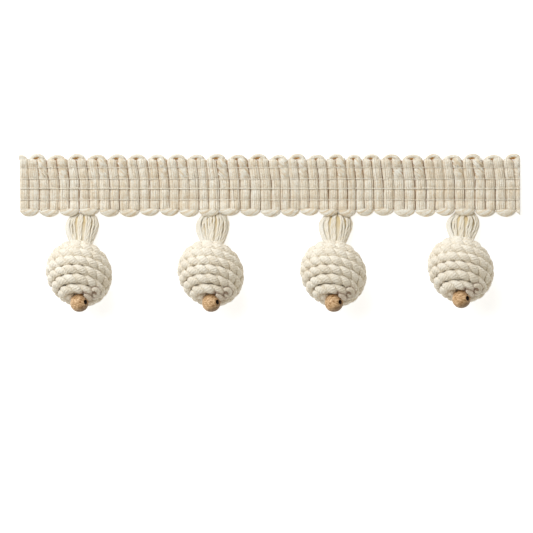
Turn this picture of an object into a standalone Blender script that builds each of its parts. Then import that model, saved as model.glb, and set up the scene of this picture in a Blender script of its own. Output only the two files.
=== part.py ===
"""Pompom fringe trim: a cut length of looped cotton gimp braid with four rope-wound balls.

The trim lies face up on a surface at z = 0. X runs along the heading, the balls hang
towards -Y, and the origin is the bottom centre of the whole piece. Units are metres.
"""

import math

import bmesh
import bpy
from mathutils import Matrix, Vector

MM = 0.001
WELD = 0.005 * MM

# Heading: one flat soft cord laid back and forth as upright bars.
BARS = 50
BAR_PITCH = 4.5 * MM
CORD_GAP = 0.3 * MM
CORD_WIDTH = BAR_PITCH - CORD_GAP
CORD_HEIGHT = 3.2 * MM
CORD_EDGE_RISE = 0.45      # height of the cord's widest line, as a share of its height
CORD_SOLE_SHARE = 0.40     # half width of its flat underside, as a share of its width
CORD_CROWN_SHARE = 0.27    # half width of its crown
TOP_EDGE_Y = 35.2 * MM
BOTTOM_EDGE_Y = 7.8 * MM
LOOP_RADIUS = BAR_PITCH / 2
LOOP_STEPS = 4
LOOP_SQUARENESS = 2.4      # 2 is a round turn, more is squarer
ARCH_FULLNESS = 0.62       # the cord is drawn thinner over the top arches
ARCH_THINS_OVER = 2.0 * MM
PINCH_FULLNESS = 0.93      # and where a binding thread crosses it
LEAN = 1.3 * MM            # the upper part of the bars leans towards -X
LEAN_FROM_Y = 21.0 * MM
LOOP_UNEVENNESS = 0.35 * MM
LOOP_WANDER = 2.3          # angle by which the unevenness moves on at each loop
CUT_END_Y = TOP_EDGE_Y - 0.9 * MM

# Binding threads across the bars.
THREAD_YS = (29.9 * MM, 24.7 * MM, 20.4 * MM, 15.3 * MM)
THREAD_DIAMETERS = (0.7 * MM, 0.7 * MM, 0.9 * MM, 0.7 * MM)
PIECE_GAP = 0.3 * MM

# Balls: one rope wound in a spiral from the bead to the neck.
BALL_CENTRES = (
    (-85.9 * MM, -17.8 * MM),
    (-26.7 * MM, -17.8 * MM),
    (28.4 * MM, -17.8 * MM),
    (85.6 * MM, -16.1 * MM),
)
BALL_HEIGHT_ABOVE_FLOOR = 14.2 * MM
BALL_TILT = math.radians(30)
ROPE_RADIUS = 2.05 * MM
ROPE_SPHERE = 12.55 * MM   # the rope's middle line lies on this sphere
GROOVE_SPHERE = 13.0 * MM
CREST_RELIEF = ROPE_SPHERE + ROPE_RADIUS - GROOVE_SPHERE
SPIRAL_START = math.radians(17.7)
SPIRAL_PITCH = math.radians(18.3)
SPIRAL_TURNS = 7.75
COLUMNS_PER_TURN = 20
ROPE_ROWS = 4

# Bead in its seat at the ball's lower end.
BEAD_RADIUS = 4.1 * MM
BEAD_DISTANCE = 15.3 * MM
BEAD_HOLE_RADIUS = 0.95 * MM
BEAD_STEPS = 12
BEAD_PROFILE_STEPS = 6
BEAD_HOLE_TURN = math.radians(-43)   # the hole shows at the bead's right side
SEAT_GAP = 0.35 * MM
SEAT_FLOOR = BEAD_DISTANCE - BEAD_RADIUS - SEAT_GAP
SEAT_FLOOR_SHARE = 0.65    # radius of the seat's floor, as a share of its mouth's

# Necks: yarns from a flat root under the loops to a plug in the ball's upper end.
NECK_ROOT_XS = (-83.7 * MM, -24.9 * MM, 30.3 * MM, 87.8 * MM)
ROOT_WIDTH = 10.0 * MM
ROOT_HEIGHT = 1.4 * MM
ROOT_FRONT_Y = 6.7 * MM
ROOT_BACK_Y = 11.4 * MM
PLUG_INNER = (12.5 * MM, 3.9 * MM)   # distance from the ball's centre, radius
PLUG_OUTER = (14.9 * MM, 5.7 * MM)
PLUG_FLATNESS = 0.65
PLUG_SIDES = 12
STRAND_RADIUS = 0.72 * MM
STRAND_ROOT_RADIUS = 0.5 * MM
STRAND_TUCK = 1.0 * MM               # how far the strands start inside the root
STRAND_POINTS = 6
STRAND_UNEVENNESS = 0.3 * MM
STRAND_WANDER = 5.1                  # angle by which it moves on at each strand
NECK_WANDER = 1.7                    # and at each neck
NECK_PULL = 4.3 * MM                 # how far the neck keeps its direction at each end
HALF_WIDTHS = (4.4 * MM, 6.9 * MM, 4.3 * MM)   # at the root, the widest place and the plug
RISES = (0.3 * MM, 3.1 * MM, 2.5 * MM)         # half thicknesses at the same places
WIDEST_AT = 0.42                     # share of the neck's length
FULL_RING_AT = 0.35                  # where the two flat rows have become a ring
FRONT_ROW = {"side": 1, "strands": 7, "arc": (0.07, 0.93), "spread": 0.98}
BACK_ROW = {"side": -1, "strands": 5, "arc": (0.17, 0.83), "spread": 0.82}
RING_LEAN = 0.35                     # the ring stands across the sloping neck

# The loops above a root are lifted to let it pass under them.
LIFT = ROOT_HEIGHT + PIECE_GAP
LIFT_HALF_WIDTH = ROOT_WIDTH / 2 + CORD_WIDTH / 2 + 3 * PIECE_GAP
LIFT_FADE = 9.0 * MM
LIFT_FULL_Y = ROOT_BACK_Y + 1.2 * MM
LIFT_FADE_Y = THREAD_YS[-1] - THREAD_DIAMETERS[-1] / 2 - LIFT_FULL_Y
THREAD_RIDE = 0.6 * MM     # the lowest thread rides up with the lifted bars


def clear_scene():
    for obj in list(bpy.data.objects):
        bpy.data.objects.remove(obj, do_unlink=True)


def new_collection(name, hidden=False):
    collection = bpy.data.collections.new(name)
    bpy.context.scene.collection.children.link(collection)
    collection.hide_render = hidden
    return collection


def material(name, colour, roughness):
    made = bpy.data.materials.new(name)
    made.use_nodes = True
    shader = made.node_tree.nodes["Principled BSDF"]
    shader.inputs["Base Color"].default_value = (*colour, 1.0)
    shader.inputs["Roughness"].default_value = roughness
    shader.inputs["Metallic"].default_value = 0.0
    return made


def place(obj, collection, parent, finish):
    collection.objects.link(obj)
    obj.parent = parent
    obj.data.materials.append(finish)
    return obj


def as_helper(obj):
    obj.hide_render = True
    obj.display_type = "WIRE"
    return obj


def smooth(share):
    """0 below 0, 1 above 1, and an S curve between them."""
    share = min(1.0, max(0.0, share))
    return share * share * (3 - 2 * share)


# Heading ------------------------------------------------------------------------------


def lean_at(y):
    return -LEAN * smooth((y - LEAN_FROM_Y) / (TOP_EDGE_Y - LEAN_FROM_Y))


def near_root(x):
    """1 above a neck's root, 0 well away from it."""
    return max(
        smooth(1 - (abs(x - root) - LIFT_HALF_WIDTH) / LIFT_FADE) for root in NECK_ROOT_XS
    )


def lift_at(x, y):
    return LIFT * near_root(x) * smooth(1 - (y - LIFT_FULL_Y) / LIFT_FADE_Y)


def fullness_at(y):
    """Thin over the top arches, pinched at each thread and full between them."""
    nearest = min(abs(y - thread) for thread in THREAD_YS)
    pinch = PINCH_FULLNESS + (1 - PINCH_FULLNESS) * smooth(nearest / BAR_PITCH * 2)
    thinned_at = TOP_EDGE_Y - CORD_WIDTH * ARCH_FULLNESS / 2
    arch = smooth(1 - (thinned_at - y) / ARCH_THINS_OVER)
    return pinch + (ARCH_FULLNESS - pinch) * arch


def bar_ys():
    """Heights of a bar's own points, from its lower end up: on each thread and between."""
    threads = sorted(THREAD_YS)
    between = [(low + high) / 2 for low, high in zip(threads, threads[1:])]
    return sorted(threads + between)


def square_turn(angle):
    """A point of a half turn of radius 1, a little squarer than a circle."""
    across, out = math.cos(angle), math.sin(angle)
    power = 2 / LOOP_SQUARENESS
    return math.copysign(abs(across) ** power, across), max(0.0, out) ** power


def weft_path():
    """Flat points (x, y) of the cord's middle line: down a bar, round a loop, up the next."""
    low = BOTTOM_EDGE_Y + CORD_WIDTH / 2 + LOOP_RADIUS
    high = TOP_EDGE_Y - CORD_WIDTH * ARCH_FULLNESS / 2 - LOOP_RADIUS
    points = []
    for bar in range(BARS):
        x = (bar - (BARS - 1) / 2) * BAR_PITCH
        downwards = bar % 2 == 0
        ys = bar_ys()
        points += [(x, y) for y in (reversed(ys) if downwards else ys)]
        if bar == BARS - 1:
            break
        uneven = LOOP_UNEVENNESS * math.sin(bar * LOOP_WANDER)
        end, side = (low + uneven, -1) if downwards else (high + uneven, 1)
        for step in range(LOOP_STEPS + 1):
            across, out = square_turn(math.pi * (1 - step / LOOP_STEPS))
            points.append((x + LOOP_RADIUS * (1 + across), end + side * LOOP_RADIUS * out))
    first_x, last_x = points[0][0], points[-1][0]
    return [(first_x, CUT_END_Y)] + points + [(last_x, CUT_END_Y)]


def cord_section(guides):
    """The cord's section: flat underside on the path, widest below the middle, flat crown."""
    curve = bpy.data.curves.new("cord_section", "CURVE")
    curve.dimensions = "2D"
    spline = curve.splines.new("POLY")
    half = [
        (CORD_SOLE_SHARE * CORD_WIDTH, 0.0),
        (CORD_WIDTH / 2, CORD_EDGE_RISE * CORD_HEIGHT),
        (CORD_CROWN_SHARE * CORD_WIDTH, CORD_HEIGHT),
    ]
    outline = half + [(-x, y) for x, y in reversed(half)]
    spline.points.add(len(outline) - 1)
    for point, (x, y) in zip(spline.points, reversed(outline)):
        point.co = (x, y, 0, 1)
    spline.use_cyclic_u = True
    section = as_helper(bpy.data.objects.new("cord_section", curve))
    guides.objects.link(section)
    return section


def braid_weft(collection, guides, parent, finish):
    curve = bpy.data.curves.new("braid_weft", "CURVE")
    curve.dimensions = "3D"
    curve.twist_mode = "Z_UP"
    curve.bevel_mode = "OBJECT"
    curve.bevel_object = cord_section(guides)
    curve.use_fill_caps = True
    path = weft_path()
    spline = curve.splines.new("POLY")
    spline.points.add(len(path) - 1)
    for point, (x, y) in zip(spline.points, path):
        point.co = (x + lean_at(y), y, lift_at(x, y), 1)
        point.radius = fullness_at(y)
    return place(bpy.data.objects.new("braid_weft", curve), collection, parent, finish)


def thread_stations():
    """The heading's two ends, and the corners of the rise over each neck's root."""
    half = BARS * BAR_PITCH / 2
    reach = LIFT_HALF_WIDTH + LIFT_FADE
    corners = (-reach, -LIFT_HALF_WIDTH, LIFT_HALF_WIDTH, reach)
    return [-half] + [root + corner for root in NECK_ROOT_XS for corner in corners] + [half]


def binding_thread(number, y, diameter, collection, parent, finish):
    """A thread just above the bars' pinched crowns, the heading's full length."""
    curve = bpy.data.curves.new(f"binding_thread_{number}", "CURVE")
    curve.dimensions = "3D"
    curve.bevel_depth = diameter / 2
    curve.bevel_resolution = 1
    curve.use_fill_caps = True
    z = CORD_HEIGHT * PINCH_FULLNESS + PIECE_GAP + diameter / 2
    lowest = y == min(THREAD_YS)
    stations = thread_stations()
    if not lowest:
        stations = [stations[0], stations[-1]]
    spline = curve.splines.new("POLY")
    spline.points.add(len(stations) - 1)
    for point, x in zip(spline.points, stations):
        ride = THREAD_RIDE * near_root(x) if lowest else 0.0
        point.co = (x + lean_at(y), y, z + ride, 1)
    place(bpy.data.objects.new(curve.name, curve), collection, parent, finish)


# Balls --------------------------------------------------------------------------------


def ball_axes(x, y):
    """The ball's place: its own +Z points down the trim and up from the floor, at the bead."""
    turn = Matrix.Rotation(math.pi / 2 - BALL_TILT, 4, "X")
    return Matrix.Translation((x, y, BALL_HEIGHT_ABOVE_FLOOR)) @ turn


def spiral_edge(turns):
    """Polar angle of the rope's edge after this many turns, held at both ends of the spiral."""
    return SPIRAL_START + SPIRAL_PITCH * min(SPIRAL_TURNS, max(0.0, turns))


def spiral_point(turns, across):
    """A point of the rope's surface: how far along in turns, and across it from 0 to 1."""
    inner, outer = spiral_edge(turns - 1), spiral_edge(turns)
    polar = inner + (outer - inner) * across
    swell = math.sqrt(max(0.0, 1 - (2 * across - 1) ** 2) * (outer - inner) / SPIRAL_PITCH)
    radius = GROOVE_SPHERE + CREST_RELIEF * swell
    angle = 2 * math.pi * turns
    ring = radius * math.sin(polar)
    return Vector((ring * math.cos(angle), ring * math.sin(angle), radius * math.cos(polar)))


def seat_bead(bm, cap):
    """The end cap round the bead is pushed in to make its seat."""
    made = bmesh.ops.extrude_discrete_faces(bm, faces=[cap])
    for vertex in made["faces"][0].verts:
        vertex.co = Vector(
            (vertex.co.x * SEAT_FLOOR_SHARE, vertex.co.y * SEAT_FLOOR_SHARE, SEAT_FLOOR)
        )


def flatten_below(bm, plane_point, plane_normal):
    """Cuts off what lies under the floor and closes the flat spot."""
    geometry = bm.verts[:] + bm.edges[:] + bm.faces[:]
    bmesh.ops.bisect_plane(
        bm, geom=geometry, plane_co=plane_point, plane_no=plane_normal, clear_outer=True
    )
    bmesh.ops.holes_fill(bm, edges=[edge for edge in bm.edges if edge.is_boundary])


def wound_ball(number, centre, collection, parent, finish):
    """A strip carried round the ball in a spiral, its edges merged turn to turn."""
    along = SPIRAL_TURNS + 1
    bm = bmesh.new()
    bmesh.ops.create_grid(
        bm, x_segments=round(along * COLUMNS_PER_TURN), y_segments=ROPE_ROWS, size=1
    )
    for vertex in bm.verts:
        vertex.co = spiral_point((vertex.co.x + 1) / 2 * along, (vertex.co.y + 1) / 2)
    bmesh.ops.remove_doubles(bm, verts=bm.verts, dist=WELD)
    bmesh.ops.dissolve_degenerate(bm, edges=bm.edges, dist=WELD)
    caps = bmesh.ops.holes_fill(bm, edges=[e for e in bm.edges if e.is_boundary])["faces"]
    bmesh.ops.recalc_face_normals(bm, faces=bm.faces)
    seat_bead(bm, max(caps, key=lambda face: face.calc_center_median().z))
    axes = ball_axes(*centre)
    down = axes.inverted().to_3x3() @ Vector((0, 0, -1))
    flatten_below(bm, axes.inverted() @ Vector((*centre, 0)), down)
    mesh = bpy.data.meshes.new(f"ball_{number}")
    bm.to_mesh(mesh)
    bm.free()
    mesh.shade_smooth()
    ball = place(bpy.data.objects.new(mesh.name, mesh), collection, parent, finish)
    ball.matrix_local = axes


def drilled_bead(number, centre, collection, parent, finish):
    """A turned bead: half a circle from rim to rim of its hole, and straight down the hole."""
    rim = math.acos(BEAD_HOLE_RADIUS / BEAD_RADIUS)
    mesh = bpy.data.meshes.new(f"bead_{number}")
    bm = bmesh.new()
    profile = []
    for step in range(BEAD_PROFILE_STEPS + 1):
        angle = rim * (1 - 2 * step / BEAD_PROFILE_STEPS)
        co = (BEAD_RADIUS * math.cos(angle), 0, BEAD_RADIUS * math.sin(angle))
        profile.append(bm.verts.new(co))
    for first, second in zip(profile, profile[1:] + profile[:1]):
        bm.edges.new((first, second))
    bm.to_mesh(mesh)
    bm.free()
    bead = place(bpy.data.objects.new(mesh.name, mesh), collection, parent, finish)
    screw = bead.modifiers.new("turned", "SCREW")
    screw.steps = BEAD_STEPS
    screw.render_steps = BEAD_STEPS
    screw.use_merge_vertices = True
    screw.merge_threshold = WELD
    across = Matrix.Rotation(math.pi / 2, 4, "Y") @ Matrix.Rotation(BEAD_HOLE_TURN, 4, "X")
    bead.matrix_local = ball_axes(*centre) @ Matrix.Translation((0, 0, BEAD_DISTANCE)) @ across


# Necks --------------------------------------------------------------------------------


def neck_line(share, root_x, centre):
    """The neck's middle line: flat out of the root, then up into the ball along its axis."""
    axes = ball_axes(*centre)
    depth = (PLUG_INNER[0] + PLUG_OUTER[0]) / 2
    start = Vector((root_x, ROOT_FRONT_Y + STRAND_TUCK, ROOT_HEIGHT / 2))
    pull_out = start + Vector((0, -NECK_PULL, 0))
    pull_in = axes @ Vector((0, 0, -depth - NECK_PULL))
    end = axes @ Vector((0, 0, -depth))
    left = 1 - share
    return (
        start * left**3
        + pull_out * 3 * left**2 * share
        + pull_in * 3 * left * share**2
        + end * share**3
    )


def swell(share, sizes):
    """A size that grows from the root to the widest place and shrinks again to the plug."""
    root, widest, plug = sizes
    if share < WIDEST_AT:
        return root + (widest - root) * smooth(share / WIDEST_AT)
    return widest + (plug - widest) * smooth((share - WIDEST_AT) / (1 - WIDEST_AT))


def strand_point(share, row, place_in_row, uneven, root_x, centre):
    """Rows side by side in the root, an oval ring of strands in the bulge and in the plug."""
    middle = neck_line(share, root_x, centre)
    low, high = row["arc"]
    angle = math.pi * (low + (high - low) * place_in_row)
    half_width = swell(share, HALF_WIDTHS) + uneven
    rise = swell(share, RISES)
    if row["side"] < 0:
        rise = min(rise, max(0.0, middle.z - STRAND_RADIUS))
    ring = smooth(share / FULL_RING_AT)
    in_row = (1 - 2 * place_in_row) * row["spread"]
    x = half_width * ((1 - ring) * in_row + ring * math.cos(angle))
    height = row["side"] * rise * ((1 - ring) + ring * math.sin(angle))
    return middle + Vector((x, RING_LEAN * height, height))


def strands_of(number, root_x, centre):
    """All strands of one neck as separate four-sided tubes in one mesh."""
    curve = bpy.data.curves.new("strands", "CURVE")
    curve.dimensions = "3D"
    curve.bevel_depth = STRAND_RADIUS
    curve.bevel_resolution = 0
    curve.use_fill_caps = True
    thin = STRAND_ROOT_RADIUS / STRAND_RADIUS
    for row in (FRONT_ROW, BACK_ROW):
        for index in range(row["strands"]):
            turn = STRAND_WANDER * index + NECK_WANDER * number + row["side"]
            uneven = STRAND_UNEVENNESS * math.sin(turn)
            spline = curve.splines.new("POLY")
            spline.points.add(STRAND_POINTS - 1)
            for step, point in enumerate(spline.points):
                share = step / (STRAND_POINTS - 1)
                place_in_row = index / (row["strands"] - 1)
                where = strand_point(share, row, place_in_row, uneven, root_x, centre)
                point.co = (*where, 1)
                point.radius = thin + (1 - thin) * smooth(share / FULL_RING_AT)
    holder = bpy.data.objects.new("strands", curve)
    bpy.context.scene.collection.objects.link(holder)
    graph = bpy.context.evaluated_depsgraph_get()
    mesh = bpy.data.meshes.new_from_object(holder.evaluated_get(graph))
    bpy.data.objects.remove(holder)
    bm = bmesh.new()
    bm.from_mesh(mesh)
    bmesh.ops.remove_doubles(bm, verts=bm.verts, dist=WELD)
    bmesh.ops.recalc_face_normals(bm, faces=bm.faces)
    bm.to_mesh(mesh)
    bm.free()
    return mesh


def neck_ends(number, root_x, centre):
    """The flat root under the loops and the tapered plug in the ball's mouth."""
    bm = bmesh.new()
    size = Vector((ROOT_WIDTH, ROOT_BACK_Y - ROOT_FRONT_Y, ROOT_HEIGHT))
    middle = Vector((root_x, (ROOT_BACK_Y + ROOT_FRONT_Y) / 2, ROOT_HEIGHT / 2))
    bmesh.ops.create_cube(
        bm, size=1, matrix=Matrix.Translation(middle) @ Matrix.Diagonal((*size, 1))
    )
    depth = PLUG_OUTER[0] - PLUG_INNER[0]
    lies = Matrix.Translation((0, 0, -PLUG_INNER[0] - depth / 2))
    bmesh.ops.create_cone(
        bm,
        cap_ends=True,
        segments=PLUG_SIDES,
        radius1=PLUG_OUTER[1],
        radius2=PLUG_INNER[1],
        depth=depth,
        matrix=ball_axes(*centre) @ lies @ Matrix.Diagonal((1, PLUG_FLATNESS, 1, 1)),
    )
    mesh = bpy.data.meshes.new(f"neck_{number}")
    bm.to_mesh(mesh)
    bm.free()
    return mesh


def neck(number, root_x, centre, collection, guides, parent, finish):
    """Strands standing apart, joined to the root at one end and to the plug at the other."""
    strands = bpy.data.objects.new(f"neck_{number}_strands", strands_of(number, root_x, centre))
    guides.objects.link(as_helper(strands))
    strands.parent = parent
    ends = bpy.data.objects.new(f"neck_{number}", neck_ends(number, root_x, centre))
    place(ends, collection, parent, finish)
    union = ends.modifiers.new("joined", "BOOLEAN")
    union.operation = "UNION"
    union.solver = "EXACT"
    union.use_self = True
    union.object = strands


# Whole trim ---------------------------------------------------------------------------


def centre_on_origin(trim, collection):
    """Moves the whole trim so that its box is centred on the origin in X and Y."""
    bpy.context.view_layer.update()
    graph = bpy.context.evaluated_depsgraph_get()
    points = []
    for obj in collection.objects:
        if obj.type != "EMPTY":
            evaluated = obj.evaluated_get(graph)
            points += [obj.matrix_world @ v.co for v in evaluated.to_mesh().vertices]
            evaluated.to_mesh_clear()
    for axis in (0, 1):
        values = [point[axis] for point in points]
        trim.location[axis] = -(min(values) + max(values)) / 2


def build():
    clear_scene()
    collection = new_collection("pompom_fringe_trim")
    guides = new_collection("guides_and_cutters", hidden=True)
    trim = bpy.data.objects.new("trim", None)
    collection.objects.link(trim)
    cotton = material("braid cotton", (0.64, 0.56, 0.43), 0.95)
    thread = material("binding thread", (0.76, 0.68, 0.54), 0.9)
    yarn = material("neck yarn", (0.75, 0.67, 0.53), 0.95)
    rope = material("rope cotton", (0.68, 0.61, 0.49), 0.95)
    wood = material("bead wood", (0.60, 0.38, 0.21), 0.55)
    braid_weft(collection, guides, trim, cotton)
    for index, (y, diameter) in enumerate(zip(THREAD_YS, THREAD_DIAMETERS)):
        binding_thread(index + 1, y, diameter, collection, trim, thread)
    for index, (root_x, centre) in enumerate(zip(NECK_ROOT_XS, BALL_CENTRES)):
        neck(index + 1, root_x, centre, collection, guides, trim, yarn)
        wound_ball(index + 1, centre, collection, trim, rope)
        drilled_bead(index + 1, centre, collection, trim, wood)
    centre_on_origin(trim, collection)


build()
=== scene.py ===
"""Pompom fringe trim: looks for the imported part.

A cut length of looped cotton braid lies face up on a pale floor. Four balls wound from
cotton rope hang from it by bundles of yarn, and a small wooden bead sits under each.
Units are metres. X runs along the braid and the balls hang towards -Y.
"""

import bpy
import numpy as np
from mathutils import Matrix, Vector


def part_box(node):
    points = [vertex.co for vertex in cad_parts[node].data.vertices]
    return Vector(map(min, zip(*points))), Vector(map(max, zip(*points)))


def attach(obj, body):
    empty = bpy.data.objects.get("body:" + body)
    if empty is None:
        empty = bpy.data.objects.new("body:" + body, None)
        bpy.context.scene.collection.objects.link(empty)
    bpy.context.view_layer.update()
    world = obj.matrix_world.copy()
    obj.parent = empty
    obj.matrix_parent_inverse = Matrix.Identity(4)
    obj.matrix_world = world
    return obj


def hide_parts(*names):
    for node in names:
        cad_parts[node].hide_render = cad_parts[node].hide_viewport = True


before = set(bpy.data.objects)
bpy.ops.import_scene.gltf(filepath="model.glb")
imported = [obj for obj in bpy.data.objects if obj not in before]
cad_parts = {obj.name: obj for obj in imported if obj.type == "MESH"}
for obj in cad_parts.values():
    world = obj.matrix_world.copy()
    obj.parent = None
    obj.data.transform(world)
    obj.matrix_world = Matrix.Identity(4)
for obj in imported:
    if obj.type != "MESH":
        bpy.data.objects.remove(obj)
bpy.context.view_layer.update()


# ---- Camera, floor and light -----------------------------
# The trim lies on a white table and is seen from straight above through a long lens.
# A broad soft lamp stands to the upper left and a weak one fills from the lower right.

MM = 0.001
PIXEL = 0.45 * MM  # what one of the render's 533 pixels covers on the trim
FRAME_WIDTH = 533 * PIXEL
CAMERA_HEIGHT = 10.0
SENSOR = 36.0
VIEW_CENTRE = (-1.6 * MM, -14.7 * MM)


def linear(hex_colour):
    """An sRGB hex colour as linear red, green, blue and alpha."""
    channels = np.array([int(hex_colour[i : i + 2], 16) for i in (1, 3, 5)]) / 255
    low, high = channels / 12.92, ((channels + 0.055) / 1.055) ** 2.4
    return (*np.where(channels <= 0.04045, low, high).tolist(), 1.0)


def node(tree, kind, settings=None, **inputs):
    """Adds a node, sets its properties, and fills or links its sockets by name or number.

    A socket's name is written with _ for a space, and a socket's number as s0, s1 and so on.
    """
    made = tree.nodes.new(kind)
    for name, value in (settings or {}).items():
        setattr(made, name, value)
    for name, value in inputs.items():
        key = int(name[1:]) if name[1:].isdigit() else name.replace("_", " ")
        if isinstance(value, bpy.types.NodeSocket):
            tree.links.new(value, made.inputs[key])
        else:
            made.inputs[key].default_value = value
    return made


def new_material(name, **sockets):
    """A node material, its node tree, and its shader with the named sockets filled."""
    made = bpy.data.materials.new(name)
    made.use_nodes = True
    tree = made.node_tree
    tree.nodes.clear()
    shader = node(tree, "ShaderNodeBsdfPrincipled", **sockets)
    node(tree, "ShaderNodeOutputMaterial", s0=shader.outputs[0])
    return made, tree, shader


# Places in this file are measured from the trim's own zero, THREAD_3_Y below the middle of the
# third binding thread. SHIFT carries them over to the frame's zero.
THREAD_3_Y = 20.4 * MM
thread_low, thread_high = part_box("binding_thread_3")
SHIFT = np.array(
    [(thread_low.x + thread_high.x) / 2, (thread_low.y + thread_high.y) / 2 - THREAD_3_Y, 0.0]
)

scene = bpy.context.scene
camera_data = bpy.data.cameras.new("camera")
camera_data.sensor_width = SENSOR
camera_data.lens = SENSOR * CAMERA_HEIGHT / FRAME_WIDTH
camera_data.clip_end = 30.0
camera = bpy.data.objects.new("camera", camera_data)
camera.location = (VIEW_CENTRE[0] + SHIFT[0], VIEW_CENTRE[1] + SHIFT[1], CAMERA_HEIGHT)
scene.collection.objects.link(camera)
scene.camera = camera


def soft_lamp(name, place, size, watts, colour):
    """A square lamp that faces the trim's middle."""
    data = bpy.data.lights.new(name, "AREA")
    data.size = size
    data.energy = watts
    data.color = linear(colour)[:3]
    lamp = bpy.data.objects.new(name, data)
    lamp.location = place
    lamp.rotation_euler = (-Vector(place)).to_track_quat("-Z", "Y").to_euler()
    scene.collection.objects.link(lamp)


soft_lamp("key_lamp", (-0.72, 0.85, 1.05), size=1.70, watts=26.4, colour="#f4f8ff")
soft_lamp("fill_lamp", (0.70, -0.60, 1.10), size=1.20, watts=0.5, colour="#fdf8f2")

world = bpy.data.worlds.new("studio")
world.use_nodes = True
studio = world.node_tree.nodes["Background"]
studio.inputs["Color"].default_value = linear("#fff6e2")
studio.inputs["Strength"].default_value = 0.37
scene.world = world
scene.view_settings.view_transform = "Standard"

FLOOR_HALF = 3.0
floor_mesh = bpy.data.meshes.new("floor")
sides_xy = ((-1, -1), (1, -1), (1, 1), (-1, 1))
floor_corners = [(x * FLOOR_HALF, y * FLOOR_HALF, 0) for x, y in sides_xy]
floor_mesh.from_pydata(floor_corners, [], [(0, 1, 2, 3)])
floor = bpy.data.objects.new("floor", floor_mesh)
scene.collection.objects.link(floor)
# Matt white table paint, lifted a little so that shadows stay faint.
floor_paint, _, _ = new_material(
    "matt_white_paint",
    Base_Color=linear("#d9dbde"),
    Roughness=0.9,
    Specular_IOR_Level=0.0,
    Emission_Color=linear("#ffffff"),
    Emission_Strength=0.66,
)
floor_mesh.materials.append(floor_paint)


# ---- Heading: looped cotton gimp cord --------------------
# One soft flat cord of twelve cotton yarns round a filling, laid back and forth as upright bars.
# It turns in plump loops along the lower edge and in thin drawn arches along the upper one.
# The cord is woven in by the binding threads, so each bar is pinched where a thread crosses.

BARS = 50
PITCH = 4.5 * MM
PAIR_SHIFTS = (
    (-0.3, -0.3, -0.3, -0.3, -0.1, -0.3, -0.1, -0.3, -0.3, -0.6, -0.1, 0.1, 0.6)
    + (0.1, -0.3, -0.6, -1.0, -2.6, -3.0, -2.6, -1.7, -2.4, -2.4, -2.1, -1.9)
)  # in mm, how far each pair of bars lies off an even row
RIGHT_CUT_X = 112.6 * MM  # the last bar, past the last pair, is cut through lengthwise
CUT_SQUASH = 0.5 * MM
BAR_STATIONS = 27
LOOP_STATIONS = 15
END_STEP = 0.014  # the stations next to a bar's ends, as a share of the bar
END_TAPER = 0.3 * MM  # a bar keeps its full width up to this far from its ends
BAR_DRIFT = 0.16 * MM  # how far a bar wanders off a straight line
BAR_UNEVENNESS = 0.04  # how much plumper or leaner a bar is

CORD_HALF_WIDTH = 1.82 * MM  # to the middle of the outermost yarns
CORD_CROWN = 3.3 * MM
CORD_FLATNESS = 0.62  # the section's height, as a share of its width
CORD_SQUARENESS = 2.35
CORD_DRAWN_HEIGHT = 0.45  # the share of its height that the cord keeps where drawn thin
NEARLY_FULL = 0.9
CORD_SUNK = 0.25 * MM  # how far the lowest yarns are pressed up by the table
SOFT_HEIGHT = 1.0 * MM  # and up to which height it presses them
YARNS = 12
YARN_RADIUS = 0.51 * MM
YARN_SIDES = 6
YARN_FLATNESS = 1.08  # a yarn's width, as a share of its thickness
YARN_LOOSENESS = (0.05, 0.13)  # how far yarns stray in and out, and how much more where fuzzy
YARN_UNEVENNESS = (0.09, 0.14)  # and how much their thickness varies, in the same way
YARN_GROOVE = 0.32  # how deep the shade goes between neighbouring yarns
BAR_TWIST = 0.001  # turns that the yarns make from one station to the next
LOOP_TWIST = 0.05  # and how much more in a loop, a fuzzy bar and a drawn place
FUZZY_TWIST = 0.085
DRAWN_TWIST = 0.02
LOOP_TWISTED = 0.95  # the share of a loop's depth in which it twists
TWIST_WANDER = 0.02  # turns by which all yarns, and each of them, stray round the cord
YARN_WANDER = 0.012
FUZZY_BARS = (2, 4)  # of each six bars these are fuzzy at the top
FUZZY_FROM_Y = 23.0 * MM
FUZZY_FADE = 4.0 * MM

LOOP_LOW_Y = 9.6 * MM  # the cord's middle line at the lowest point of a loop
LOOP_DEPTH = 1.20 * MM
LOOP_HALF_SPAN = 3.9 * MM
LOOP_UNEVENNESS = 0.3 * MM
LOOP_WANDER = 2.3  # angle by which the unevenness moves on at each bar
LOOP_ROUNDNESS = 1.3  # 1 is half an ellipse, and more is more pointed
LOOP_CORNER_SHARE = 0.24  # the cord's width where it turns into a loop
LOOP_MIDDLE_SHARE = 0.80  # and in the loop's middle
LOOP_SWELL = 1.5  # the power of the sine by which a loop thickens to its middle
LOOP_RAISE = 0.8 * MM
LOOP_ONSET, ARCH_ONSET = 1.25, 5.0  # how fast a turn's rise, and an arch's spread, set in

ARCH_TOP_Y = 35.0 * MM
ARCH_FOOT_Y = 33.2 * MM
ARCH_STEP = 0.25 * MM  # the right foot stands this much higher, and the left one lower
ARCH_SPREAD = 0.85 * MM  # how far its feet stand out past the bars' middles
ARCH_UNEVENNESS = 0.25 * MM
ARCH_WANDER = 1.7
ARCH_ROUNDNESS = 1.3
ARCH_SHARE = 0.33  # the cord's width over an arch, as a share of its full width
ARCH_LEFT_Z = -0.25 * MM  # an arch starts behind the left bar and ends on the right one
ARCH_RIGHT_Z = 1.0 * MM
TOP_SLOPE = 0.28  # a left bar's top end slopes down towards the arch's middle
TOP_SLOPE_FADE = 0.8 * MM
TOP_SLOPE_EARLY = 1.6  # it sets in this many fades below the arch's feet

LEAN = 1.3 * MM
LEAN_AT_LEFT_END = 0.2  # the first bars lean less
LEAN_GROWS_OVER = 11.0 * MM
LEAN_FROM_Y = 21.0 * MM
LEAN_TO_Y = 35.2 * MM

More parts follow.
